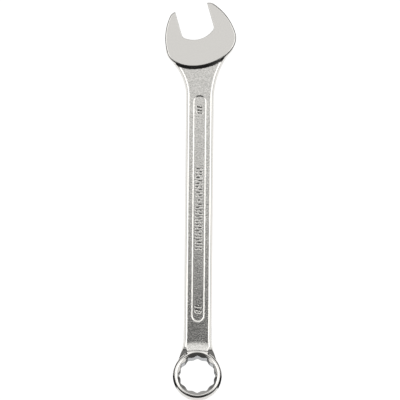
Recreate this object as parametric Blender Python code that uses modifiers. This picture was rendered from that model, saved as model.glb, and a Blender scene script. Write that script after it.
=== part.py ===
"""A combination wrench for 18 mm nuts: an open end at one end of the shank, a 12-point box end at the other.

The real tool is a single forging. It is built here as three solids that meet face to face: the open end
head, the shank and the box end ring. The bar of the shank runs into both ends, and flat seams across it part
the three solids.

Design frame: X across the shank, Y along it towards the open end, Z up out of the front face, with the
middle of the box end's bore above the origin and the shank's middle plane at Z = 0. The empty that
everything hangs from then puts the lowest middle point of the whole tool at the world's origin.
"""

import math

import bmesh
import bpy
from mathutils import Matrix, Vector

MM = 0.001

# The nut, and the play that both ends leave round it.
NUT_SIZE = 18.0 * MM
PLAY = 0.15 * MM
ACROSS_FLATS = NUT_SIZE + PLAY

# Places along the tool, from the middle of the box end.
HEAD_Y = 183.9 * MM
HEAD_SEAM_Y = 158.0 * MM
RING_SEAM_Y = 20.0 * MM

# The shank's bar.
SHANK_HALF_WIDTH = 7.6 * MM
SHANK_HALF_THICKNESS = 2.8 * MM
SHANK_EDGE_RADIUS = 2.0 * MM
FLARE_RADIUS = 44.0 * MM
FLARE_DROP = 32.7 * MM
NECK_FILLET_RADIUS = 20.0 * MM

# The panel sunk in each face of the shank.
PANEL_LOW_Y = 29.6 * MM
PANEL_HIGH_Y = 153.6 * MM
PANEL_HALF_WIDTH = 3.55 * MM
PANEL_DEPTH = 0.25 * MM

# The open end, drawn about its own axis, which leans towards -X.
JAW_LEAN = math.radians(16.5)
HEAD_HALF_WIDTH = 19.52 * MM
WIDEST_Y = -1.9 * MM
HEEL_DEPTH = 12.85 * MM
HEAD_HALF_THICKNESS = 4.2 * MM
HEAD_EDGE_RADIUS = 0.9 * MM
HORN_RADIUS = 28.9 * MM
TIP_Y = 18.6 * MM
THROAT_RADIUS = 13.2 * MM
THROAT_Y = 0.6 * MM
THROAT_CORNER_RADIUS = 1.0 * MM
TIP_CHAMFER = 0.8 * MM

# The box end.
BOX_TILT = math.radians(15)
RING_LIFT = 2.0 * MM
RING_RADIUS = 13.45 * MM
RING_HALF_THICKNESS = 5.75 * MM
RING_EDGE_RADIUS = 1.5 * MM
MOUTH_RADIUS = 11.45 * MM
MOUTH_SLOPE = math.radians(28)
BORE_POINTS = 12
COLLAR_START_Y = 18.5 * MM
COLLAR_TOP_Y = 14.5 * MM
COLLAR_BOTTOM_Y = 13.0 * MM
COLLAR_END_Y = 11.0 * MM
COLLAR_TOP = 3.9 * MM
COLLAR_BOTTOM = -5.4 * MM
COLLAR_HALF_WIDTH = 8.0 * MM
COLLAR_EDGE_RADIUS = 1.2 * MM

ARC_STEP = math.radians(4)
RING_SIDES = 72
HALF_SIDE = math.pi / RING_SIDES
BIG = 300 * MM


# ---------------------------------------------------------------- flat outlines


def arc(centre, radius, start, end):
    """Points of an arc, its ends included, from the start angle to the end angle."""
    steps = max(2, math.ceil(abs(end - start) / ARC_STEP))
    angles = [start + (end - start) * i / steps for i in range(steps + 1)]
    return [(centre[0] + radius * math.cos(a), centre[1] + radius * math.sin(a)) for a in angles]


def mirrored(right_side):
    """A closed outline from its right side, which stays clear of the axis X = 0."""
    return right_side + [(-x, y) for x, y in reversed(right_side)]


def jaw_to_design(points):
    """Turns points about the head's own axis into the design frame."""
    turn = Matrix.Rotation(JAW_LEAN, 2)
    return [tuple(turn @ Vector(p) + Vector((0, HEAD_Y))) for p in points]


def bar_outline():
    """The bar: filleted into the box end's rim, straight, then flared into the open end."""
    rim_y = RING_HALF_THICKNESS * math.sin(BOX_TILT)
    fillet_x = SHANK_HALF_WIDTH + NECK_FILLET_RADIUS
    fillet_y = rim_y + math.sqrt((RING_RADIUS + NECK_FILLET_RADIUS) ** 2 - fillet_x**2)
    touch = math.atan2(rim_y - fillet_y, -fillet_x)
    flare = (SHANK_HALF_WIDTH + FLARE_RADIUS, HEAD_Y - FLARE_DROP)
    right = [(MOUTH_RADIUS, rim_y)]
    right += arc((fillet_x, fillet_y), NECK_FILLET_RADIUS, touch + math.tau, math.pi)
    right += arc(flare, FLARE_RADIUS, math.pi, math.radians(150))
    right += [(HEAD_HALF_WIDTH / 2, HEAD_Y)]
    return mirrored(right)


def head_outline():
    """The open end before its jaw is cut: an elliptic heel below its widest line, and two slim horns."""
    heel_angles = [math.radians(a) for a in range(-88, 0, 4)]
    heel = [
        (HEAD_HALF_WIDTH * math.cos(a), WIDEST_Y + HEEL_DEPTH * math.sin(a))
        for a in heel_angles
    ]
    horn_centre = (HEAD_HALF_WIDTH - HORN_RADIUS, WIDEST_Y)
    outer_tip_y = TIP_Y - TIP_CHAMFER
    tip_angle = math.asin((outer_tip_y - WIDEST_Y) / HORN_RADIUS)
    horn = arc(horn_centre, HORN_RADIUS, 0, tip_angle)
    tip = [(horn[-1][0] - 1.5 * TIP_CHAMFER, TIP_Y)]
    return jaw_to_design(mirrored(heel + horn + tip))


def jaw_outline():
    """The jaw's gap: a round throat, round corners, flats and chamfered lips."""
    half = ACROSS_FLATS / 2
    throat_centre = (0, THROAT_Y + THROAT_RADIUS)
    corner_x = half - THROAT_CORNER_RADIUS
    corner_y = throat_centre[1] - math.sqrt((THROAT_RADIUS - THROAT_CORNER_RADIUS) ** 2 - corner_x**2)
    touch = math.atan2(corner_y - throat_centre[1], corner_x)
    throat = arc(throat_centre, THROAT_RADIUS, math.radians(-88), touch)
    corner = arc((corner_x, corner_y), THROAT_CORNER_RADIUS, touch, 0)
    lip = [(half, TIP_Y - TIP_CHAMFER), (half + TIP_CHAMFER / 2, TIP_Y)]
    past_lip = [(half + TIP_CHAMFER / 2, TIP_Y + HEAD_HALF_WIDTH)]
    return jaw_to_design(mirrored(throat + corner[1:] + lip + past_lip))


def panel_outline():
    """The sunk panel: a slot along Y with round ends."""
    low = arc((0, PANEL_LOW_Y + PANEL_HALF_WIDTH), PANEL_HALF_WIDTH, math.radians(-85), 0)
    high = arc((0, PANEL_HIGH_Y - PANEL_HALF_WIDTH), PANEL_HALF_WIDTH, 0, math.radians(85))
    return mirrored(low + high)


def bore_outline():
    """The bore's outline: two hexagons across each other, so points and inner corners alternate."""
    half = ACROSS_FLATS / 2
    radii = half / math.cos(math.pi / 6), half / math.cos(math.pi / 12)
    step = math.pi / BORE_POINTS
    return [
        (radii[i % 2] * math.cos(i * step), radii[i % 2] * math.sin(i * step))
        for i in range(2 * BORE_POINTS)
    ]


# ---------------------------------------------------------------- solids


def new_object(name, mesh, collection):
    obj = bpy.data.objects.new(name, mesh)
    collection.objects.link(obj)
    return obj


def prism(name, outline, half_height, collection):
    """A flat outline given a thickness, the same above and below Z = 0, as a mesh."""
    curve = bpy.data.curves.new(name, "CURVE")
    curve.dimensions = "2D"
    curve.fill_mode = "BOTH"
    curve.extrude = half_height
    spline = curve.splines.new("POLY")
    spline.points.add(len(outline) - 1)
    for point, (x, y) in zip(spline.points, outline):
        point.co = (x, y, 0, 1)
    spline.use_cyclic_u = True
    source = bpy.data.objects.new(name + "_outline", curve)
    bpy.context.scene.collection.objects.link(source)
    graph = bpy.context.evaluated_depsgraph_get()
    mesh = bpy.data.meshes.new_from_object(source.evaluated_get(graph))
    mesh.name = name
    bpy.data.objects.remove(source)
    shape = bmesh.new()
    shape.from_mesh(mesh)
    bmesh.ops.remove_doubles(shape, verts=shape.verts, dist=0.001 * MM)
    shape.to_mesh(mesh)
    shape.free()
    return new_object(name, mesh, collection)


def turned(name, profile, collection):
    """A solid turned about Z from a profile of (radius, height) points that runs down its outer side."""
    mesh = bpy.data.meshes.new(name)
    corners = [(0, 0, profile[0][1])] + [(r, 0, z) for r, z in profile] + [(0, 0, profile[-1][1])]
    mesh.from_pydata(corners, [(i, i + 1) for i in range(len(corners) - 1)], [])
    obj = new_object(name, mesh, collection)
    screw = obj.modifiers.new("turn", "SCREW")
    screw.steps = screw.render_steps = RING_SIDES
    screw.use_merge_vertices = True
    screw.merge_threshold = 0.01 * MM
    return obj


def block(name, low, high, collection):
    """A box between two opposite corners."""
    shape = bmesh.new()
    bmesh.ops.create_cube(shape, size=1)
    low, high = Vector(low), Vector(high)
    bmesh.ops.scale(shape, vec=high - low, verts=shape.verts)
    bmesh.ops.translate(shape, vec=(high + low) / 2, verts=shape.verts)
    mesh = bpy.data.meshes.new(name)
    shape.to_mesh(mesh)
    shape.free()
    return new_object(name, mesh, collection)


def round_edges(obj, radius, segments):
    """Rounds an object's sharp edges, and leaves the slight ones between an arc's points."""
    bevel = obj.modifiers.new("round_edges", "BEVEL")
    bevel.width = radius
    bevel.segments = segments
    bevel.limit_method = "ANGLE"
    bevel.angle_limit = math.radians(50)


def combine(obj, other, operation, solver="EXACT"):
    """Joins the other solid to this one, or cuts it out."""
    boolean = obj.modifiers.new(f"{operation.lower()}_{other.name}", "BOOLEAN")
    boolean.operation = operation
    boolean.object = other
    boolean.solver = solver


def trim(obj, seam_y, side, cutters, solver="EXACT"):
    """Cuts off what lies past a seam, towards +Y (side 1) or -Y (side -1)."""
    low_y, high_y = sorted((seam_y, side * BIG))
    beyond = block(f"{obj.name}_trim_{side}", (-BIG, low_y, -BIG), (BIG, high_y, BIG), cutters)
    combine(obj, beyond, "DIFFERENCE", solver)


def bar(name, collection):
    """The shank's whole bar, from inside the box end to inside the open end."""
    obj = prism(name, bar_outline(), SHANK_HALF_THICKNESS, collection)
    round_edges(obj, SHANK_EDGE_RADIUS, 4)
    return obj


def ring_profile():
    """The box end's outer side from its top face to its bottom face, with round edges."""
    flat_radius = RING_RADIUS - RING_EDGE_RADIUS
    flat_height = RING_HALF_THICKNESS - RING_EDGE_RADIUS
    quarter = [math.radians(a) for a in (90, 60, 37, 15, 0)]
    top = [(math.cos(a), flat_height + RING_EDGE_RADIUS * math.sin(a)) for a in quarter]
    outer = top + [(c, -z) for c, z in reversed(top)]
    return [(flat_radius + RING_EDGE_RADIUS * c, z) for c, z in outer]


def mouth_profile():
    """The cone that leads into the bore, carried on past the face so that it cuts clean."""
    slope = math.tan(MOUTH_SLOPE)
    depth = RING_HALF_THICKNESS / 2
    above = 2 * MM
    return [
        (MOUTH_RADIUS + above / slope, RING_HALF_THICKNESS + above),
        (MOUTH_RADIUS - depth / slope, RING_HALF_THICKNESS - depth),
    ]


def collar(collection):
    """The swelling between the shank and the box end, drawn from the side and tapered upwards."""
    outline = [
        (COLLAR_START_Y, 0.9 * SHANK_HALF_THICKNESS),
        (COLLAR_TOP_Y, COLLAR_TOP),
        (COLLAR_END_Y, COLLAR_TOP),
        (COLLAR_END_Y, COLLAR_BOTTOM),
        (COLLAR_BOTTOM_Y, COLLAR_BOTTOM),
        (COLLAR_START_Y, -0.9 * SHANK_HALF_THICKNESS),
    ]
    obj = prism("collar", outline, COLLAR_HALF_WIDTH, collection)
    obj.data.transform(Matrix(((0, 0, 1, 0), (1, 0, 0, 0), (0, 1, 0, 0), (0, 0, 0, 1))))
    round_edges(obj, COLLAR_EDGE_RADIUS, 2)
    return obj


# ---------------------------------------------------------------- the three parts


def make_head(parts, cutters):
    head = prism("open_end_head", head_outline(), HEAD_HALF_THICKNESS, parts)
    round_edges(head, HEAD_EDGE_RADIUS, 3)
    combine(head, bar("bar_into_head", cutters), "UNION")
    combine(head, prism("jaw", jaw_outline(), BIG, cutters), "DIFFERENCE")
    trim(head, HEAD_SEAM_Y, -1, cutters)
    return head


def make_shank(parts, cutters):
    shank = bar("shank", parts)
    for face in (-1, 1):
        panel = prism(f"panel_{face}", panel_outline(), PANEL_DEPTH, cutters)
        panel.data.transform(Matrix.Translation((0, 0, face * SHANK_HALF_THICKNESS)))
        combine(shank, panel, "DIFFERENCE")
    trim(shank, HEAD_SEAM_Y, 1, cutters)
    trim(shank, RING_SEAM_Y, -1, cutters)
    return shank


def make_ring(parts, cutters):
    """The box end. The exact solver leaves it open where its cones meet the bore's corners."""
    solver = "MANIFOLD"
    ring = bar("box_end_ring", parts)
    tilt = Matrix.Translation((0, 0, RING_LIFT)) @ Matrix.Rotation(-BOX_TILT, 4, "X")
    rim = turned("rim", ring_profile(), cutters)
    rim.matrix_local = tilt
    combine(ring, collar(cutters), "UNION", solver)
    combine(ring, rim, "UNION", solver)
    for face, turn in (("front", 0), ("back", math.pi)):
        mouth = turned(f"{face}_mouth", mouth_profile(), cutters)
        mouth.matrix_local = tilt @ Matrix.Rotation(turn, 4, "X") @ Matrix.Rotation(HALF_SIDE, 4, "Z")
        combine(ring, mouth, "DIFFERENCE", solver)
    bore = prism("bore", bore_outline(), 2 * RING_HALF_THICKNESS, cutters)
    bore.matrix_local = tilt
    combine(ring, bore, "DIFFERENCE", solver)
    trim(ring, RING_SEAM_Y, 1, cutters, solver)
    return ring


# ---------------------------------------------------------------- finish and place


def metal(name, colour, roughness):
    """Chrome plate of this colour and polish."""
    material = bpy.data.materials.new(name)
    material.use_nodes = True
    shader = material.node_tree.nodes["Principled BSDF"]
    shader.inputs["Base Color"].default_value = (*colour, 1)
    shader.inputs["Metallic"].default_value = 1
    shader.inputs["Roughness"].default_value = roughness
    return material


def clear_scene():
    for obj in list(bpy.data.objects):
        bpy.data.objects.remove(obj)


def new_collection(name):
    collection = bpy.data.collections.new(name)
    bpy.context.scene.collection.children.link(collection)
    return collection


def shade(obj):
    for polygon in obj.data.polygons:
        polygon.use_smooth = True
    obj.data.set_sharp_from_angle(angle=math.radians(35))


def lowest_and_highest(solids):
    """The corners of the box round the finished solids."""
    graph = bpy.context.evaluated_depsgraph_get()
    points = []
    for obj in solids:
        evaluated = obj.evaluated_get(graph)
        points += [evaluated.matrix_world @ v.co for v in evaluated.data.vertices]
    low = Vector(min(p[axis] for p in points) for axis in range(3))
    high = Vector(max(p[axis] for p in points) for axis in range(3))
    return low, high


def main():
    clear_scene()
    parts = new_collection("combination_wrench")
    cutters = new_collection("cutters")
    polished = metal("polished_chrome", (0.80, 0.79, 0.77), 0.08)
    satin = metal("satin_chrome", (0.62, 0.61, 0.60), 0.28)
    solids = [make(parts, cutters) for make in (make_head, make_shank, make_ring)]
    for obj, finish in zip(solids, (polished, satin, polished)):
        obj.data.materials.append(finish)
        shade(obj)
    for obj in cutters.objects:
        obj.hide_render = True
        obj.display_type = "WIRE"
    base = new_object("wrench_base", None, parts)
    for obj in [*solids, *cutters.objects]:
        obj.parent = base
    bpy.context.view_layer.update()
    low, high = lowest_and_highest(solids)
    base.location = (-(low.x + high.x) / 2, -(low.y + high.y) / 2, -low.z)


main()
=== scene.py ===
"""The looks of an 18 mm combination wrench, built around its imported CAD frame.

The whole forging is one smooth distance field in millimetres, in the design frame: X across the shank, Y
along it towards the open end, Z out of the front face, the box end's middle at Y = 0 and the shank's middle
plane at Z = 0. A fine net of quads is laid on the field's surface, split where the CAD's seams are, and each
part of it stands for one CAD node. The materials are procedural. The studio is a dark room with softboxes
above the tool and a light table below it, in front of a white dome.
"""

import math

import bmesh
import bpy
import numpy as np
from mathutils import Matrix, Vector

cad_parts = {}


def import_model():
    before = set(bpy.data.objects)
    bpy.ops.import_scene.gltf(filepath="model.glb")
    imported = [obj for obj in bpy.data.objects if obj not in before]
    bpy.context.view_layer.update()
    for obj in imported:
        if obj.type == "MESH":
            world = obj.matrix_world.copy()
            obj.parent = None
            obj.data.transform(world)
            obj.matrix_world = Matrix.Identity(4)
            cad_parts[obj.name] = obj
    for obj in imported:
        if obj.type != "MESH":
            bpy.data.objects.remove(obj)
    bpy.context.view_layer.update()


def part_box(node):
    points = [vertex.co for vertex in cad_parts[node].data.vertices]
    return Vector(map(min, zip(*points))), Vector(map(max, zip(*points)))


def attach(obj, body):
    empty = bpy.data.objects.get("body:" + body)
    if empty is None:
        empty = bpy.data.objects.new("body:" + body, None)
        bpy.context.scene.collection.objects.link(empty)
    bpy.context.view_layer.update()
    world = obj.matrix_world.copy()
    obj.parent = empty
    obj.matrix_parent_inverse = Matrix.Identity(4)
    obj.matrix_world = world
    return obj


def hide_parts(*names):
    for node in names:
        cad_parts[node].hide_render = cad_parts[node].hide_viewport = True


MM = 0.001

# ---------------------------------------------------------------- dimensions, in millimetres

HALF_ACROSS_FLATS = 9.075

HEAD_Y = 183.9
HEAD_SEAM_Y = 158.0
RING_SEAM_Y = 20.0

SHANK_MIDDLE_Y = 90.0
SHANK_HALF_WIDTH = 7.6
SHANK_HALF_THICKNESS = 2.8
SHANK_EDGE_RADIUS = 0.12
SHOULDER_X = 1.9  # how far in from the side a shoulder starts
SHOULDER_TILT = math.radians(18)
SHOULDER_RADIUS = 1.2
SIDE_RUN = 1.1  # how far each side leans in, from the middle plane to the face
SIDE_EDGE_RADIUS = 0.12
FLARE_RADIUS = 44.0
FLARE_DROP = 32.7  # how far below the head's middle the flare starts
FLARE_RISE = 26.4  # how far along the shank the flare's arc runs
LEFT_FLARE_RADIUS = 26.0
LEFT_FLARE_DROP = 30.9
LEFT_FLARE_RISE = 17.5
ROOT_RADIUS = 0.8
BAR_HIGH_Y = HEAD_Y - 5

NECK_TILT_Y = 16.5  # below this the shoulders turn steeper and wider, over NECK_TILT_RUN
NECK_TILT_RUN = 4.0
NECK_EXTRA_TILT = math.radians(20)
NECK_EXTRA_SHOULDER = 1.6
NECK_DRAFT_LOSS = 0.85  # the share of the sides' lean that is gone at the box end
NECK_FILLET_RADIUS = 25.0
NECK_FILLET_RISE = 17.5
NECK_START_Y = 21.2
NECK_END_RADIUS = 5.0
NECK_INSET = 0.1
NECK_LOW_Y = 2.0

PANEL_LOW_Y = 29.6
PANEL_HIGH_Y = 153.6
PANEL_HALF_WIDTH = 3.55
PANEL_DEPTH = 0.22
PANEL_WALL_RUN = 0.57
PANEL_FLOOR_RADIUS = 0.1

JAW_LEAN = math.radians(16.5)
HEAD_HALF_WIDTH = 19.48
WIDEST_Y = -1.9  # from here on the head's outline is given in its own leaning frame
HEEL_DEPTH = 12.65
HORN_RADIUS = 28.9
TIP_Y = 18.6
TIP_RADIUS = 1.4
THROAT_RADIUS = 13.2
THROAT_Y = 0.6
THROAT_CORNER_RADIUS = 0.9
HEAD_HALF_THICKNESS = 4.2
HEAD_EDGE_RADIUS = 0.9
HEEL_EXTRA_RADIUS = 0.4
HEEL_FADE_RUN = 10.0
HEEL_FADE_START = 0.2
JAW_EDGE_RADIUS = 0.35
HEAD_FILLET_RADIUS = 1.1

COLLAR_START_Y = 19.2  # where the shank's front face starts to rise towards the box end
COLLAR_RADIUS = 10.4
COLLAR_RUN = 5.6
COLLAR_PLAN_RADIUS = 33.0
COLLAR_LOW_FILLET = 3.2
COLLAR_HIGH_FILLET = 0.6
COLLAR_FILLET_DROP = 2.0  # how far below the middle plane the fillet has grown to its largest
COLLAR_SIDE_INSET = 2.0
COLLAR_SIDE_FADE = 4.0
COLLAR_SIDE_SHARE = 0.2

BOX_TILT = math.radians(15)
RING_LIFT = 2.0
RING_RADIUS = 13.4
RING_HALF_THICKNESS = 5.66
RING_DRAFT = math.radians(4.2)
RING_EDGE_RADIUS = 1.2
MOUTH_RADIUS = 11.45
MOUTH_SLOPE = math.radians(28)
MOUTH_EDGE_RADIUS = 0.25
MOUTH_FOOT_RADIUS = 0.15
BORE_POINTS = 12
BORE_POINT_ROUNDING = 0.35
BORE_TOOTH_RADIUS = 0.3

MARK_HALF_STROKE = 0.48
MARK_HALF_HEIGHT = 1.9
MARK_SLOPE = math.radians(20)
MARK_EDGE_RADIUS = 0.04
MARK_SLANT = 0.13
HIGH_NUMBER_Y = 145.7
LOW_NUMBER_Y = 36.5
ONE_PLACE = -1.35
FLAG_REACH = 0.9
FLAG_DROP = 0.8
EIGHT_PLACE = 1.15
EIGHT_UPPER_SHARE = 0.46
RIBS_LOW_Y = 68.7
RIBS_HIGH_Y = 113.9
RIB_PITCH = 1.62
RIB_STROKE_SHARE = 0.8
RIB_END_RADIUS = 0.2
RIB_SWAY = 0.16
RIB_SWAY_TURN = 1.7  # radians from one rib to the next
RIB_HALF_BREAK = 0.3
RIB_BREAK_SHARE = 0.6
RIB_BREAK_TURN = 2.4
DOT_Y = 95.9
DOT_RADIUS = 0.75
DOT_GAP = 1.5

# ---------------------------------------------------------------- the net of quads, in millimetres

FIELD_NUDGE = 0.01
SETTLING_ROUNDS = 5
LARGEST_MOVE = 0.2
LEAST_SQUARED_SLOPE = 0.25
RING_REACH_X = 14.8
SHANK_REACH_X = 9.3
FLAT_REACH_Z = 5.01
# Grid lines as (start, end, step), finest where edges, marks and panel walls are.
GRID_HALF_X = (
    (0.09, 2.61, 0.18),
    (2.61, 3.81, 0.12),
    (3.81, 5.6, 0.3),
    (5.6, 7.8, 0.13),
    (7.8, 14.7, 0.3),
    (14.7, 20.4, 0.38),
)
GRID_HALF_Z = (
    (0.15, 1.8, 0.3),
    (1.8, 2.36, 0.14),
    (2.36, 3.0, 0.08),
    (3.0, 5.0, 0.14),
    (5.0, 12.6, 0.26),
)
GRID_Y = (
    (-15.1, RING_SEAM_Y - 0.15, 0.26),
    (RING_SEAM_Y - 0.15, RING_SEAM_Y + 0.15, 0.3),
    (RING_SEAM_Y + 0.15, 29.0, 0.5),
    (29.0, 41.0, 0.2),
    (41.0, 67.5, 0.6),
    (67.5, 115.1, 0.2),
    (115.1, 142.0, 0.6),
    (142.0, 154.0, 0.2),
    (154.0, HEAD_SEAM_Y - 0.2, 0.4),
    (HEAD_SEAM_Y - 0.2, HEAD_SEAM_Y + 0.2, 0.4),
    (HEAD_SEAM_Y + 0.2, 205.5, 0.3),
)

# ---------------------------------------------------------------- the finish

POLISHED_COLOUR = (0.82, 0.81, 0.79, 1)
SATIN_DARK_COLOUR = (0.62, 0.62, 0.60, 1)
SATIN_LIGHT_COLOUR = (0.90, 0.89, 0.87, 1)
# A painted shade for the bottoms of the marks.
GROOVE_SHADE_COLOUR = (0.20, 0.20, 0.19, 1)
BORE_COLOUR = (0.36, 0.38, 0.41, 1)
BORE_ROUGHNESS = 0.22

# The satin fades out between two values of each: the square of the normal's lean, the height above the
# shank's face in millimetres, and the distance below the collar's start in millimetres.
SATIN_LEAN = (0.030, 0.088)
SATIN_RISE = (0.7, 1.3)
SATIN_DROP = (8, 6.5)
COLLAR_TURN = 3  # how far above the collar's start a lean along the shank counts in full
# Where the marks' painted shade fades in below the panel's floor, in millimetres, and the least upright
# normal it takes.
GROOVE_DROP = (0.12, 0.06)
GROOVE_UPRIGHT = 0.75
BORE_INSET = 0.4
BORE_SQUARENESS = (0.35, 0.6)

# ---------------------------------------------------------------- the studio, in metres

DOME_RADIUS = 2.9
OVERHEAD_Z = 0.6
TABLE_Z = -0.25
OVERHEAD_RADIANCE = 0.72
SIDE_RADIANCE = 1.5
END_RADIANCE = 0.8
FAR_LEFT_RADIANCE = 0.42
FAR_RIGHT_RADIANCE = 0.75
TABLE_RADIANCE = 0.95
TABLE_END_RADIANCE = 0.85
DARK_ROOM = 0.012
SOFTBOX_COLOUR = (1, 0.99, 0.97)
ROOM_COLOUR = (1.0, 0.99, 0.98, 1)

CAMERA_DISTANCE = 1.2
CAMERA_PLACE = (0.00046, 0.00103, 0.0066)  # the point that the camera faces
CAMERA_ROLL = math.radians(0.547)
PICTURE_WIDTH = 0.2195
SENSOR_WIDTH = 36


# ---------------------------------------------------------------- rounded joins of distance fields


def cut(a, b, radius):
    """What lies in both fields, with its convex edge rounded."""
    corner = np.hypot(np.maximum(a + radius, 0), np.maximum(b + radius, 0))
    return np.minimum(np.maximum(a, b), -radius) + corner


def join(a, b, radius):
    """What lies in either field, with a fillet between them."""
    return -cut(-a, -b, radius)


def bend(a, b, radius, angle):
    """What lies in both of two fields that meet at a slight angle, with the bend between them rounded."""
    reach = radius * np.tan(angle / 2) * np.sin(angle)
    turn = np.clip((b - a) / reach, -1, 1)
    return np.maximum(a, b) + 0.25 * reach * (1 - np.abs(turn)) ** 2


# ---------------------------------------------------------------- the forging's parts


def open_end(x, y):
    """The open end's outline and its jaw's, as seen from the front, and the radius of its edges."""
    c, s = math.cos(JAW_LEAN), math.sin(JAW_LEAN)
    v = x * c + (y - HEAD_Y) * s
    w = (y - HEAD_Y) * c - x * s
    v = np.abs(v)
    horn = np.hypot(v + HORN_RADIUS - HEAD_HALF_WIDTH, w - WIDEST_Y) - HORN_RADIUS
    scaled = np.hypot(v / HEAD_HALF_WIDTH, (w - WIDEST_Y) / HEEL_DEPTH)
    steepness = np.hypot(v / HEAD_HALF_WIDTH**2, (w - WIDEST_Y) / HEEL_DEPTH**2)
    heel = (scaled - 1) * scaled / np.maximum(steepness, 1e-6)
    outline = cut(np.where(w > WIDEST_Y, horn, heel), w - TIP_Y, TIP_RADIUS)
    heel_share = np.clip((WIDEST_Y - w) / HEEL_FADE_RUN - HEEL_FADE_START, 0, 1)
    edge_radius = HEAD_EDGE_RADIUS + HEEL_EXTRA_RADIUS * heel_share
    throat_centre = THROAT_Y + THROAT_RADIUS
    throat = np.hypot(v, np.minimum(w - throat_centre, 0)) - THROAT_RADIUS
    jaw = cut(v - HALF_ACROSS_FLATS, throat, THROAT_CORNER_RADIUS)
    return outline, jaw, edge_radius


def bar_half_width(x, y):
    """Half the bar's width, and how steeply it changes along Y."""
    radius = np.where(x < 0, LEFT_FLARE_RADIUS, FLARE_RADIUS)
    start = HEAD_Y - np.where(x < 0, LEFT_FLARE_DROP, FLARE_DROP)
    flare = np.clip(y - start, 0, np.where(x < 0, LEFT_FLARE_RISE, FLARE_RISE))
    flare_run = np.sqrt(radius**2 - flare**2)
    fillet = np.clip(NECK_START_Y - y, 0, NECK_FILLET_RISE)
    fillet_run = np.sqrt(NECK_FILLET_RADIUS**2 - fillet**2)
    width = SHANK_HALF_WIDTH + radius - flare_run + NECK_FILLET_RADIUS - fillet_run
    return width, flare / flare_run - fillet / fillet_run


def bar(x, y, z, head_outline):
    """The shank's bar, from inside the box end's wall to inside the open end.

    Its section has flat faces, slightly sloped shoulders beside them, and sides with a forging's draft. In
    plan it flares into the open end and widens into the box end. Towards the box end its shoulders turn
    steeper and its sides straighter, and its front face rises into the collar.
    """
    width, steepness = bar_half_width(x, y)
    edge = (np.abs(x) - width) / np.hypot(1, steepness)
    edge = join(edge, head_outline, ROOT_RADIUS)
    neck_limit = np.where(y < SHANK_MIDDLE_Y, np.abs(x) - RING_RADIUS + NECK_INSET, -SHANK_MIDDLE_Y)
    edge = cut(edge, neck_limit, NECK_END_RADIUS)
    collar = COLLAR_START_Y - y - x**2 / (2 * COLLAR_PLAN_RADIUS)
    collar = np.clip(collar, 0, COLLAR_RUN) ** 2 / (2 * COLLAR_RADIUS)
    height = np.where(z > 0, z - collar, -z)
    neck = np.clip((NECK_TILT_Y - y) / NECK_TILT_RUN, 0, 1)
    draft = SIDE_RUN / SHANK_HALF_THICKNESS * (1 - NECK_DRAFT_LOSS * neck)
    side = (edge + np.abs(z) * draft) / np.hypot(1, draft)
    tilt = SHOULDER_TILT + NECK_EXTRA_TILT * neck
    shoulder = (edge + SHOULDER_X + NECK_EXTRA_SHOULDER * neck) * np.sin(tilt)
    shoulder = shoulder + (height - SHANK_HALF_THICKNESS) * np.cos(tilt)
    section = bend(height - SHANK_HALF_THICKNESS, shoulder, SHOULDER_RADIUS, tilt)
    section = cut(section, side, SIDE_EDGE_RADIUS)
    return np.maximum(section, np.maximum(NECK_LOW_Y - y, y - BAR_HIGH_Y))


def stroke(u, v, start, end):
    """A straight stroke of a mark between two points."""
    along = np.array(end, float) - start
    share = ((u - start[0]) * along[0] + (v - start[1]) * along[1]) / (along @ along)
    share = np.clip(share, 0, 1)
    return np.hypot(u - start[0] - share * along[0], v - start[1] - share * along[1]) - MARK_HALF_STROKE


def loop(u, v, centre, radius):
    """A round stroke of a mark."""
    return np.abs(np.hypot(u - centre[0], v - centre[1]) - radius) - MARK_HALF_STROKE


def size_number(u, v):
    """The digits 1 and 8, slightly slanted."""
    high = MARK_HALF_HEIGHT - MARK_HALF_STROKE
    one = stroke(u, v, (ONE_PLACE, -high), (ONE_PLACE, high))
    flag = stroke(u, v, (ONE_PLACE, high), (ONE_PLACE - FLAG_REACH, high - FLAG_DROP))
    upper, lower = EIGHT_UPPER_SHARE * high, (1 - EIGHT_UPPER_SHARE) * high
    eight = np.minimum(
        loop(u, v, (EIGHT_PLACE, high - upper), upper),
        loop(u, v, (EIGHT_PLACE, lower - high), lower),
    )
    return np.minimum(np.minimum(one, flag), eight)


def marks(x, y):
    """The size number near both ends of the panel, and a row of broken ribs with a dot in its middle.

    The number reads along the shank, so its own axes are -Y and X.
    """
    slanted = y + MARK_SLANT * x
    number = np.minimum(size_number(HIGH_NUMBER_Y - slanted, x), size_number(LOW_NUMBER_Y - slanted, x))
    row = np.floor((y - RIBS_LOW_Y) / RIB_PITCH)
    place = y - RIBS_LOW_Y - (row + 0.5) * RIB_PITCH
    sway = RIB_SWAY * np.sin(row * RIB_SWAY_TURN) * x
    rib = np.abs(place + sway) - RIB_STROKE_SHARE * MARK_HALF_STROKE
    rib = cut(rib, np.abs(x) - MARK_HALF_HEIGHT, RIB_END_RADIUS)
    break_x = RIB_BREAK_SHARE * MARK_HALF_HEIGHT * np.sin(row * RIB_BREAK_TURN)
    rib = np.maximum(rib, RIB_HALF_BREAK - np.abs(x - break_x))
    middle = (RIBS_LOW_Y + RIBS_HIGH_Y) / 2
    rib = np.maximum(rib, np.abs(y - middle) - (RIBS_HIGH_Y - RIBS_LOW_Y) / 2)
    rib = np.maximum(rib, DOT_GAP - np.abs(y - DOT_Y))
    dot = np.hypot(x, y - DOT_Y) - DOT_RADIUS
    return np.minimum(np.minimum(number, rib), dot)


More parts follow.
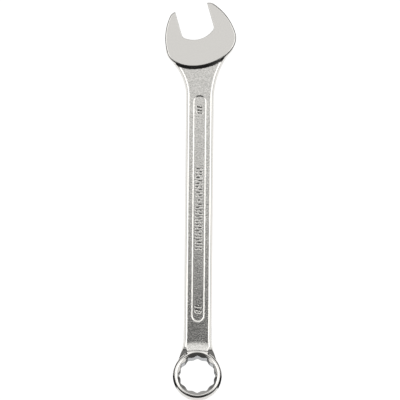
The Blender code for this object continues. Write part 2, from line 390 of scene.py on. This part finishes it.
def panel_cut(x, y, z):
    """The sunk panels, whose walls slope, and the marks cut into their floors as shallow V grooves."""
    middle = (PANEL_LOW_Y + PANEL_HIGH_Y) / 2
    half_run = (PANEL_HIGH_Y - PANEL_LOW_Y) / 2 - PANEL_HALF_WIDTH
    slot = np.hypot(x, np.maximum(np.abs(y - middle) - half_run, 0)) - PANEL_HALF_WIDTH
    below_face = SHANK_HALF_THICKNESS - np.abs(z)
    run = PANEL_WALL_RUN / PANEL_DEPTH
    walls = (slot + below_face * run) / math.hypot(1, run)
    below_floor = below_face - PANEL_DEPTH
    sunk = cut(walls, below_floor, PANEL_FLOOR_RADIUS)
    outline = marks(x * np.sign(z), y)
    grooves = outline * math.sin(MARK_SLOPE) + below_floor * math.cos(MARK_SLOPE)
    return join(sunk, grooves, MARK_EDGE_RADIUS)


def box_end(x, y, z):
    """The box end's body and the hole through it, in its own tilted frame.

    The body's rim is widest at its middle and leans in towards both faces. The hole has twelve points, and
    widens into a sloping mouth at both faces.
    """
    c, s = math.cos(BOX_TILT), math.sin(BOX_TILT)
    across = y * c - (z - RING_LIFT) * s
    up = y * s + (z - RING_LIFT) * c
    radius = np.hypot(x, across)
    rim = (radius - RING_RADIUS) * math.cos(RING_DRAFT) + np.abs(up) * math.sin(RING_DRAFT)
    body = cut(rim, np.abs(up) - RING_HALF_THICKNESS, RING_EDGE_RADIUS)
    sector = 2 * math.pi / BORE_POINTS
    angle = np.arctan2(across, x)
    folded = np.abs((angle + sector / 2) % sector - sector / 2)
    away = np.hypot(radius * np.sin(folded), BORE_POINT_ROUNDING)
    wall = radius * np.cos(folded) * math.cos(sector) + away * math.sin(sector) - HALF_ACROSS_FLATS
    other = radius * np.cos(folded) - HALF_ACROSS_FLATS
    bore = join(wall, other, BORE_TOOTH_RADIUS)
    drop = RING_HALF_THICKNESS - np.abs(up)
    mouth = (radius - MOUTH_RADIUS) * math.sin(MOUTH_SLOPE) + drop * math.cos(MOUTH_SLOPE)
    return body, join(bore, mouth, MOUTH_FOOT_RADIUS)


def forging(x, y, z):
    """The distance from the whole forging's surface, negative inside."""
    outline, jaw, edge_radius = open_end(x, y)
    head = cut(outline, np.abs(z) - HEAD_HALF_THICKNESS, edge_radius)
    ring, hole = box_end(x, y, z)
    shank = cut(bar(x, y, z, outline), -panel_cut(x, y, z), SHANK_EDGE_RADIUS)
    # The fillet fades out on the head's face, which stays flat above the bar inside it.
    fillet = HEAD_FILLET_RADIUS * np.clip(1 + outline / edge_radius, 0.001, 1)
    body = join(shank, head, fillet)
    body = cut(body, -jaw, JAW_EDGE_RADIUS)
    # The fillet round the box end is largest on the back, and small at the neck's sides.
    low_share = np.clip(-z / COLLAR_FILLET_DROP, 0, 1)
    fillet = COLLAR_HIGH_FILLET + (COLLAR_LOW_FILLET - COLLAR_HIGH_FILLET) * low_share
    from_side = (RING_RADIUS - COLLAR_SIDE_INSET - np.abs(x)) / COLLAR_SIDE_FADE
    fillet = fillet * np.clip(from_side, COLLAR_SIDE_SHARE, 1)
    body = join(body, ring, fillet)
    return cut(body, -hole, MOUTH_EDGE_RADIUS)


# ---------------------------------------------------------------- a net of quads on the surface


def steps(*spans):
    """Grid lines through (start, end, step) spans that follow each other."""
    lines = [np.linspace(a, b, round((b - a) / step), endpoint=False) for a, b, step in spans]
    return np.concatenate([*lines, [spans[-1][1]]])


def slope(points):
    """The field's gradient at each point."""
    columns = []
    for axis in range(3):
        offset = np.zeros(3)
        offset[axis] = FIELD_NUDGE
        ahead, behind = (points + offset).T, (points - offset).T
        columns.append((forging(*ahead) - forging(*behind)) / (2 * FIELD_NUDGE))
    return np.stack(columns, axis=1)


def settle(points):
    """Moves points onto the surface."""
    for _ in range(SETTLING_ROUNDS):
        gradient = slope(points)
        square = np.maximum((gradient**2).sum(axis=1), LEAST_SQUARED_SLOPE)
        step = (forging(*points.T) / square)[:, None] * gradient
        points = points - np.clip(step, -LARGEST_MOVE, LARGEST_MOVE)
    return points


def net(xs, ys, zs, first, last):
    """Points and quads where the surface crosses the grid, for the grid rows first to last along Y."""
    field = forging(xs[:, None, None], ys[None, :, None], zs[None, None, :])
    lines = (xs, ys, zs)
    cells = tuple(n - 1 for n in field.shape)
    places, weights, quads = [], [], []
    for axis in range(3):
        near = field.take(range(cells[axis]), axis)
        far = field.take(range(1, cells[axis] + 1), axis)
        index = np.array(np.nonzero((near < 0) != (far < 0)))
        ahead = index.copy()
        ahead[axis] += 1
        value, value_ahead = field[tuple(index)], field[tuple(ahead)]
        share = value / (value - value_ahead)
        point = np.stack([line[i] for line, i in zip(lines, index)], axis=1)
        line = lines[axis]
        point[:, axis] += share * (line[ahead[axis]] - line[index[axis]])
        second, third = (axis + 1) % 3, (axis + 2) % 3
        corners = []
        for back_two, back_three in ((1, 1), (0, 1), (0, 0), (1, 0)):
            cell = index.copy()
            cell[second] -= back_two
            cell[third] -= back_three
            inside = np.all([(0 <= cell[a]) & (cell[a] < cells[a]) for a in range(3)], axis=0)
            number = np.where(inside, np.ravel_multi_index(np.where(inside, cell, 0), cells), -1)
            places.append(number[inside])
            weights.append(point[inside])
            corners.append(number)
        quad = np.stack(corners, axis=1)
        quad = np.where((value < 0)[:, None], quad, quad[:, ::-1])
        wanted = (quad >= 0).all(axis=1) & (first <= index[1]) & (index[1] < last)
        quads.append(quad[wanted])
    places, weights, quads = np.concatenate(places), np.concatenate(weights), np.concatenate(quads)
    used, quads = np.unique(quads, return_inverse=True)
    quads = quads.reshape(-1, 4)
    slot = np.full(int(np.prod(cells)), -1)
    slot[used] = np.arange(len(used))
    keep = slot[places] >= 0
    places, weights = slot[places[keep]], weights[keep]
    count = np.bincount(places, minlength=len(used))
    points = np.stack([np.bincount(places, weights[:, a], len(used)) / count for a in range(3)], axis=1)
    return settle(points), quads


def surface_piece(name, xs, ys, zs, first, last, origin):
    """One part of the forging as a closed mesh object with the field's own normals."""
    low, high = max(first - 1, 0), min(last + 1, len(ys))
    points, quads = net(xs, ys[low:high], zs, first - low, last - low)
    normals = slope(points)
    normals /= np.linalg.norm(normals, axis=1)[:, None]
    mesh = bpy.data.meshes.new(name)
    mesh.from_pydata((points * MM + np.array(origin)).tolist(), [], quads.tolist())
    shape = bmesh.new()
    shape.from_mesh(mesh)
    rim = [edge for edge in shape.edges if edge.is_boundary]
    bmesh.ops.holes_fill(shape, edges=rim, sides=0)
    shape.to_mesh(mesh)
    shape.free()
    mesh.shade_smooth()
    mesh.normals_split_custom_set_from_vertices(normals.tolist())
    piece = bpy.data.objects.new(name, mesh)
    bpy.context.scene.collection.objects.link(piece)
    return piece


def within(lines, reach):
    """The grid lines no further than this from the middle."""
    return lines[np.abs(lines) < reach]


def make_forging(origin):
    """The three pieces, on grids that share their lines where two pieces meet."""
    half_xs, half_zs, ys = steps(*GRID_HALF_X), steps(*GRID_HALF_Z), steps(*GRID_Y)
    xs = np.concatenate([-half_xs[::-1], half_xs])
    zs = np.concatenate([-half_zs[::-1], half_zs])
    ring_xs, shank_xs, flat_zs = within(xs, RING_REACH_X), within(xs, SHANK_REACH_X), within(zs, FLAT_REACH_Z)
    ring_row = int(np.searchsorted(ys, RING_SEAM_Y))
    head_row = int(np.searchsorted(ys, HEAD_SEAM_Y))
    ring = surface_piece("box_end", ring_xs, ys, zs, 0, ring_row, origin)
    shank = surface_piece("shank_bar", shank_xs, ys, flat_zs, ring_row, head_row, origin)
    head = surface_piece("open_end", xs, ys, flat_zs, head_row, len(ys), origin)
    return head, shank, ring


# ---------------------------------------------------------------- materials


class Nodes:
    """A short way to write a node tree."""

    def __init__(self, tree):
        self.tree = tree

    def add(self, kind, inputs=None, **settings):
        node = self.tree.nodes.new(kind)
        for key, value in settings.items():
            setattr(node, key, value)
        for key, value in (inputs or {}).items():
            if isinstance(value, bpy.types.NodeSocket):
                self.tree.links.new(value, node.inputs[key])
            else:
                node.inputs[key].default_value = value
        return node

    def link(self, output, socket):
        self.tree.links.new(output, socket)

    def math(self, operation, a, b=0.0):
        return self.add("ShaderNodeMath", {0: a, 1: b}, operation=operation).outputs[0]

    def vector(self, operation, a, b=(0, 0, 0), output=0, scale=1.0):
        inputs = {0: a, 1: b, 3: scale}
        return self.add("ShaderNodeVectorMath", inputs, operation=operation).outputs[output]

    def parts(self, vector):
        """A vector's X, Y and Z."""
        return self.add("ShaderNodeSeparateXYZ", {0: vector}).outputs

    def between(self, value, low, high):
        """1 where the value lies between two others, and 0 elsewhere."""
        above = self.math("GREATER_THAN", value, low)
        return self.math("MULTIPLY", above, self.math("LESS_THAN", value, high))

    def mix(self, share, first, second):
        """A number between two others."""
        return self.add("ShaderNodeMix", {0: share, 2: first, 3: second}, data_type="FLOAT").outputs[0]

    def blend(self, share, first, second):
        """A colour between two others."""
        return self.add("ShaderNodeMix", {0: share, 6: first, 7: second}, data_type="RGBA").outputs[2]

    def ramp(self, value, low, high, to_low, to_high, smooth=False):
        """The value carried from one range to another, and held at its ends."""
        inputs = {"Value": value, 1: low, 2: high, 3: to_low, 4: to_high}
        kind = "SMOOTHSTEP" if smooth else "LINEAR"
        return self.add("ShaderNodeMapRange", inputs, interpolation_type=kind).outputs[0]

    def noise(self, position, scale, detail=2.0, stretch=(1, 1, 1)):
        """Noise with blotches of about 1/scale metres, longer along an axis whose stretch is small."""
        mapped = self.add("ShaderNodeMapping", {"Vector": position, "Scale": stretch}).outputs[0]
        inputs = {"Vector": mapped, "Scale": scale, "Detail": detail}
        return self.add("ShaderNodeTexNoise", inputs).outputs[0]


def satin_mask(nodes, place, normal, height, origin):
    """1 on the shank's flat faces, its panels and the lower part of its collar."""
    collar = origin[1] + COLLAR_START_Y * MM
    beyond = nodes.ramp(place[1], collar, collar + COLLAR_TURN * MM, 0, 1)
    square = nodes.parts(nodes.vector("MULTIPLY", normal, normal))
    lean = nodes.math("ADD", square[0], nodes.math("MULTIPLY", square[1], beyond))
    flat = nodes.ramp(lean, *SATIN_LEAN, 1, 0, smooth=True)
    rise_low, rise_high = ((SHANK_HALF_THICKNESS + rise) * MM for rise in SATIN_RISE)
    low = nodes.ramp(height, rise_low, rise_high, 1, 0)
    drop_low, drop_high = (collar - drop * MM for drop in SATIN_DROP)
    above = nodes.ramp(place[1], drop_low, drop_high, 0, 1)
    return nodes.math("MULTIPLY", nodes.math("MULTIPLY", flat, low), above)


def bore_mask(nodes, position, normal, origin):
    """1 on the box end's bore, where the surface faces the bore's axis."""
    axis = (0, math.sin(BOX_TILT), math.cos(BOX_TILT))
    middle = (origin[0], origin[1], origin[2] + RING_LIFT * MM)
    arm = nodes.vector("SUBTRACT", position, middle)
    along = nodes.vector("DOT_PRODUCT", arm, axis, output=1)
    radial = nodes.vector("SUBTRACT", arm, nodes.vector("SCALE", axis, scale=along))
    radius = nodes.vector("LENGTH", radial, output=1)
    inside = nodes.math("LESS_THAN", radius, (MOUTH_RADIUS - BORE_INSET) * MM)
    square = nodes.math("ABSOLUTE", nodes.vector("DOT_PRODUCT", normal, axis, output=1))
    return nodes.math("MULTIPLY", inside, nodes.ramp(square, *BORE_SQUARENESS, 1, 0))


def groove_shade_mask(nodes, place, normal, height, origin):
    """1 at the bottom of the marks in the panels, where the painted shade goes."""
    floor = SHANK_HALF_THICKNESS - PANEL_DEPTH
    low, high = ((floor - drop) * MM for drop in GROOVE_DROP)
    deep = nodes.ramp(height, low, high, 1, 0)
    upright = nodes.math("ABSOLUTE", nodes.parts(normal)[2])
    deep = nodes.math("MULTIPLY", deep, nodes.math("GREATER_THAN", upright, GROOVE_UPRIGHT))
    panel = nodes.between(place[1], origin[1] + PANEL_LOW_Y * MM, origin[1] + PANEL_HIGH_Y * MM)
    return nodes.math("MULTIPLY", deep, panel)


def chrome(name, origin):
    """Chrome plate: a slightly hazy mirror, satin with a fine grain on the shank's faces, darker and rougher
    in the bore.

    The marks' bottoms are darkened, a painted shade in the grooves.
    """
    material = bpy.data.materials.new(name)
    material.use_nodes = True
    nodes = Nodes(material.node_tree)
    shader = material.node_tree.nodes["Principled BSDF"]
    shader.inputs["Metallic"].default_value = 1.0
    position = nodes.add("ShaderNodeTexCoord").outputs["Object"]
    normal = nodes.add("ShaderNodeNewGeometry").outputs["Normal"]
    place = nodes.parts(position)
    height = nodes.math("ABSOLUTE", nodes.math("SUBTRACT", place[2], origin[2]))
    satin = satin_mask(nodes, place, normal, height, origin)
    bore = bore_mask(nodes, position, normal, origin)
    groove_shade = groove_shade_mask(nodes, place, normal, height, origin)

    haze = nodes.noise(position, 220, 4)
    scratches = nodes.noise(position, 900, 3, (1, 0.04, 1))
    mirror_rough = nodes.ramp(haze, 0.35, 0.7, 0.07, 0.11)
    mirror_rough = nodes.math("ADD", mirror_rough, nodes.ramp(scratches, 0.6, 0.8, 0, 0.05))
    grain = nodes.noise(position, 1500, 3)
    cloud = nodes.noise(position, 160, 3, (1, 0.5, 1))
    satin_rough = nodes.ramp(grain, 0.3, 0.7, 0.18, 0.25)
    satin_rough = nodes.math("ADD", satin_rough, nodes.ramp(cloud, 0.3, 0.7, 0, 0.05))
    rough = nodes.mix(satin, mirror_rough, satin_rough)
    nodes.link(nodes.mix(bore, rough, BORE_ROUGHNESS), shader.inputs["Roughness"])

    ripple = nodes.noise(position, 90, 1)
    ripples = nodes.add("ShaderNodeBump", {"Height": ripple, "Strength": 0.12, "Distance": 0.00025})
    speckle = nodes.math("MULTIPLY", grain, satin)
    bump = {"Height": speckle, "Strength": 0.7, "Distance": 0.00014, "Normal": ripples.outputs[0]}
    nodes.link(nodes.add("ShaderNodeBump", bump).outputs[0], shader.inputs["Normal"])

    mottle = nodes.ramp(nodes.noise(position, 1100, 3), 0.3, 0.7, 0, 1)
    satin_colour = nodes.blend(mottle, SATIN_DARK_COLOUR, SATIN_LIGHT_COLOUR)
    colour = nodes.blend(satin, POLISHED_COLOUR, satin_colour)
    # Painted shade: the marks' bottoms are darkened towards the groove colour.
    colour = nodes.blend(groove_shade, colour, GROOVE_SHADE_COLOUR)
    nodes.link(nodes.blend(bore, colour, BORE_COLOUR), shader.inputs["Base Color"])
    return material


# ---------------------------------------------------------------- studio and camera


def make_backdrop():
    """A white dome that is only there to be looked at, and lights nothing."""
    material = bpy.data.materials.new("white_dome")
    material.use_nodes = True
    shader = material.node_tree.nodes["Principled BSDF"]
    shader.inputs["Base Color"].default_value = (0.5, 0.5, 0.5, 1)
    shader.inputs["Roughness"].default_value = 1.0
    shader.inputs["Emission Color"].default_value = (1, 1, 1, 1)
    shader.inputs["Emission Strength"].default_value = 1.0
    mesh = bpy.data.meshes.new("dome")
    shape = bmesh.new()
    bmesh.ops.create_uvsphere(shape, u_segments=48, v_segments=24, radius=DOME_RADIUS)
    shape.to_mesh(mesh)
    shape.free()
    mesh.materials.append(material)
    dome = bpy.data.objects.new("dome", mesh)
    dome.visible_diffuse = False
    dome.visible_glossy = False
    dome.visible_shadow = False
    bpy.context.scene.collection.objects.link(dome)


def make_world():
    """A dark room with a pale wall beyond the open end, a dim ceiling, and a glow low beside the tool."""
    world = bpy.data.worlds.new("studio")
    world.use_nodes = True
    nodes = Nodes(world.node_tree)
    across, along, height = nodes.parts(nodes.add("ShaderNodeTexCoord").outputs["Generated"])
    sideways = nodes.math("ABSOLUTE", across)
    ceiling = nodes.ramp(height, 0.5, 0.9, DARK_ROOM, 0.07)
    wall = nodes.ramp(along, 0.3, 0.5, DARK_ROOM, 0.4, smooth=True)
    wall = nodes.math("MULTIPLY", wall, nodes.ramp(sideways, 0.35, 0.6, 1, 0.2))
    glow = nodes.math("MULTIPLY", nodes.ramp(height, 0.08, 0.16, 0, 1), nodes.ramp(height, 0.33, 0.45, 1, 0))
    glow = nodes.math("MULTIPLY", glow, nodes.ramp(sideways, 0.3, 0.6, 0.015, 0.2))
    strength = nodes.math("MAXIMUM", nodes.math("MAXIMUM", ceiling, glow), wall)
    background = world.node_tree.nodes["Background"]
    nodes.link(strength, background.inputs["Strength"])
    background.inputs["Color"].default_value = ROOM_COLOUR
    bpy.context.scene.world = world


def softbox(name, low, high, height, radiance):
    """A level soft light between two corners, facing down, or up where it lies below the tool."""
    light = bpy.data.lights.new(name, "AREA")
    light.shape = "RECTANGLE"
    light.size = high[0] - low[0]
    light.size_y = high[1] - low[1]
    light.energy = math.pi * radiance * light.size * light.size_y
    light.color = SOFTBOX_COLOUR
    obj = bpy.data.objects.new(name, light)
    obj.location = ((low[0] + high[0]) / 2, (low[1] + high[1]) / 2, height)
    obj.rotation_euler.x = math.pi if height < 0 else 0
    obj.visible_camera = False
    bpy.context.scene.collection.objects.link(obj)


def make_lights():
    """Softboxes above the tool, and a light table below it.

    The one straight above stops short of the box end, and those beside it are brighter. The table has a dark
    gap under the box end, which the ring's sides reflect.
    """
    softbox("overhead", (-0.21, -0.028), (0.21, 0.47), OVERHEAD_Z, OVERHEAD_RADIANCE)
    softbox("left_side", (-0.63, -0.15), (-0.22, 0.45), OVERHEAD_Z, SIDE_RADIANCE)
    softbox("right_side", (0.22, -0.15), (0.63, 0.45), OVERHEAD_Z, SIDE_RADIANCE)
    softbox("left_end", (-0.63, -0.33), (-0.22, -0.16), OVERHEAD_Z, END_RADIANCE)
    softbox("right_end", (0.22, -0.33), (0.63, -0.16), OVERHEAD_Z, END_RADIANCE)
    softbox("far_left", (-1.1, -0.45), (-0.64, 0.45), OVERHEAD_Z, FAR_LEFT_RADIANCE)
    softbox("far_right", (0.64, -0.45), (1.1, 0.45), OVERHEAD_Z, FAR_RIGHT_RADIANCE)
    softbox("light_table", (-0.4, -0.085), (0.4, 0.4), TABLE_Z, TABLE_RADIANCE)
    softbox("light_table_left", (-0.4, -0.11), (-0.14, -0.085), TABLE_Z, TABLE_RADIANCE)
    softbox("light_table_right", (0.14, -0.11), (0.4, -0.085), TABLE_Z, TABLE_RADIANCE)
    softbox("light_table_middle", (-0.035, -0.17), (0.035, -0.111), TABLE_Z, TABLE_RADIANCE)
    softbox("light_table_end", (-0.12, -0.4), (0.12, -0.171), TABLE_Z, TABLE_END_RADIANCE)


def make_camera():
    """Square above the front face, with a long lens and a slight roll."""
    camera = bpy.data.cameras.new("camera")
    camera.sensor_width = SENSOR_WIDTH
    camera.lens = SENSOR_WIDTH * CAMERA_DISTANCE / PICTURE_WIDTH
    obj = bpy.data.objects.new("camera", camera)
    obj.location = (CAMERA_PLACE[0], CAMERA_PLACE[1], CAMERA_PLACE[2] + CAMERA_DISTANCE)
    obj.rotation_euler = (0, 0, CAMERA_ROLL)
    bpy.context.scene.collection.objects.link(obj)
    bpy.context.scene.camera = obj


# ---------------------------------------------------------------- the scene


def main():
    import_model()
    ring_low, ring_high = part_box("box_end_ring")
    shank_low, shank_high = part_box("shank")
    # Where the design frame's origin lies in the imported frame.
    origin = (
        (ring_low[0] + ring_high[0]) / 2,
        shank_low[1] - RING_SEAM_Y * MM,
        (shank_low[2] + shank_high[2]) / 2,
    )
    pieces = make_forging(origin)
    finishes = {slot: chrome(slot, origin) for slot in ("polished_chrome", "satin_chrome")}
    rows = (
        ("open_end_head", "polished_chrome"),
        ("shank", "satin_chrome"),
        ("box_end_ring", "polished_chrome"),
    )
    for piece, (node, slot) in zip(pieces, rows):
        piece.data.materials.append(finishes[slot])
        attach(piece, "root")
        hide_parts(node)
    make_backdrop()
    make_world()
    make_lights()
    make_camera()
    bpy.context.scene.view_settings.view_transform = "Standard"


main()
